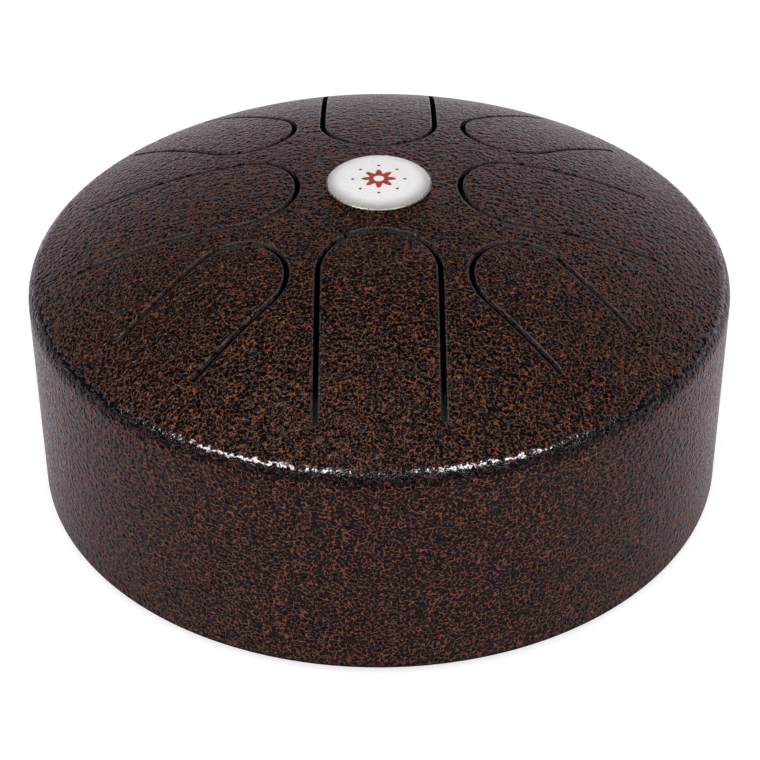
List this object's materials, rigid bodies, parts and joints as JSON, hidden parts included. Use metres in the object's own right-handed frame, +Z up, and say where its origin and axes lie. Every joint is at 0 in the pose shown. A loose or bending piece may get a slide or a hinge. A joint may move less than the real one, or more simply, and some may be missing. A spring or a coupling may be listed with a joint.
{
  "type": "steel tongue drum",
  "caption": "Round steel tongue drum with a domed top, straight side, sprung tongues round a plain badge, a base plate with a sound port and rubber feet.",
  "frame": {"origin": "centre of the circle that the feet stand on, at the floor", "axes": "+Z up along the drum's axis; the front long tongue lies towards -Y, as in the picture"},
  "size_m": [0.255, 0.255, 0.1237],
  "materials": {
    "hammered_coat": "hammered copper and black powder coat, glossy",
    "base_coat": "black powder coat, satin",
    "adhesive": "foam tape",
    "white_enamel": "white enamel on a bright metal disc",
    "clear_resin": "clear domed resin",
    "rubber": "moulded rubber",
    "zinc": "bright zinc"
  },
  "bodies": {
    "drum": {"drum_head": "hammered_coat", "base_plate": "base_coat", "base_weld": "base_coat", "badge_pad": "adhesive", "badge_disc": "white_enamel", "badge_resin": "clear_resin", "foot_front_right": "rubber", "foot_back_right": "rubber", "foot_back_left": "rubber", "foot_front_left": "rubber", "foot_screws": "zinc", "foot_washers": "zinc", "foot_nuts": "zinc"},
    "tongue_front": {"tongue_front": "hammered_coat"},
    "tongue_front_right": {"tongue_front_right": "hammered_coat"},
    "tongue_right": {"tongue_right": "hammered_coat"},
    "tongue_back_right": {"tongue_back_right": "hammered_coat"},
    "tongue_back": {"tongue_back": "hammered_coat"},
    "tongue_back_left": {"tongue_back_left": "hammered_coat"},
    "tongue_left": {"tongue_left": "hammered_coat"},
    "tongue_front_left": {"tongue_front_left": "hammered_coat"}
  },
  "joints": [
    {"name": "front_flex", "type": "hinge", "parent": "drum", "child": "tongue_front", "pos_m": [0, -0.1085, 0.09611], "axis": [-1, 0, 0], "range_deg": [-0.75, 0.75], "stiffness_Nm_per_rad": 204.2},
    {"name": "front_right_flex", "type": "hinge", "parent": "drum", "child": "tongue_front_right", "pos_m": [0.07319, -0.07319, 0.09864], "axis": [-0.7071, -0.7071, 0], "range_deg": [-0.5, 0.5], "stiffness_Nm_per_rad": 269.8},
    {"name": "right_flex", "type": "hinge", "parent": "drum", "child": "tongue_right", "pos_m": [0.098, 0, 0.10123], "axis": [0, -1, 0], "range_deg": [-0.75, 0.75], "stiffness_Nm_per_rad": 235.7},
    {"name": "back_right_flex", "type": "hinge", "parent": "drum", "child": "tongue_back_right", "pos_m": [0.07708, 0.07708, 0.09584], "axis": [0.7071, -0.7071, 0], "range_deg": [-0.5, 0.5], "stiffness_Nm_per_rad": 243.4},
    {"name": "back_flex", "type": "hinge", "parent": "drum", "child": "tongue_back", "pos_m": [0, 0.112, 0.09423], "axis": [1, 0, 0], "range_deg": [-0.75, 0.75], "stiffness_Nm_per_rad": 195.5},
    {"name": "back_left_flex", "type": "hinge", "parent": "drum", "child": "tongue_back_left", "pos_m": [-0.08202, 0.08202, 0.09197], "axis": [0.7071, 0.7071, 0], "range_deg": [-0.5, 0.5], "stiffness_Nm_per_rad": 216.3},
    {"name": "left_flex", "type": "hinge", "parent": "drum", "child": "tongue_left", "pos_m": [-0.107, 0, 0.09688], "axis": [0, 1, 0], "range_deg": [-0.75, 0.75], "stiffness_Nm_per_rad": 208.2},
    {"name": "front_left_flex", "type": "hinge", "parent": "drum", "child": "tongue_front_left", "pos_m": [-0.07495, -0.07495, 0.09739], "axis": [-0.7071, 0.7071, 0], "range_deg": [-0.5, 0.5], "stiffness_Nm_per_rad": 257.1}
  ]
}
